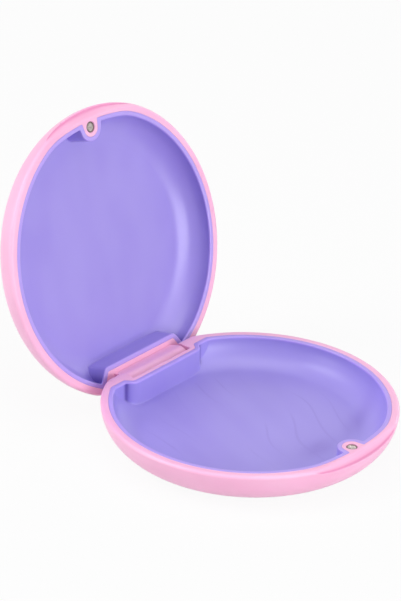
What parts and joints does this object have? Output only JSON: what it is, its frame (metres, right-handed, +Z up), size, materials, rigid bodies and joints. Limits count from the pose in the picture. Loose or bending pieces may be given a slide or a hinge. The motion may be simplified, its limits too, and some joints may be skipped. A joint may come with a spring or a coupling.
{
  "type": "retainer case",
  "caption": "Round hinged case with domed shells, fitted liner trays, a rear pin hinge and closing magnets at the front, for keeping a dental retainer or aligner.",
  "frame": {"origin": "centre of the base's flat underside", "axes": "+Z up out of the base's tray, -Y towards the thumb notch and magnets, +X along the hinge pin"},
  "size_m": [0.082, 0.1099, 0.0788],
  "materials": {
    "shell": "satin moulded pink plastic",
    "liner": "soft satin violet plastic",
    "magnet": "nickel plated disc",
    "pin": "drawn steel wire"
  },
  "bodies": {
    "base": {"base_shell": "shell", "base_liner": "liner", "base_magnet": "magnet", "hinge_pin": "pin"},
    "lid": {"lid_shell": "shell", "lid_liner": "liner", "lid_magnet": "magnet"}
  },
  "joints": [
    {"name": "lid_hinge", "type": "hinge", "parent": "base", "child": "lid", "pos_m": [0, 0.0353, 0.0076], "axis": [-1, 0, 0], "range_deg": [-107.3, 0]}
  ]
}
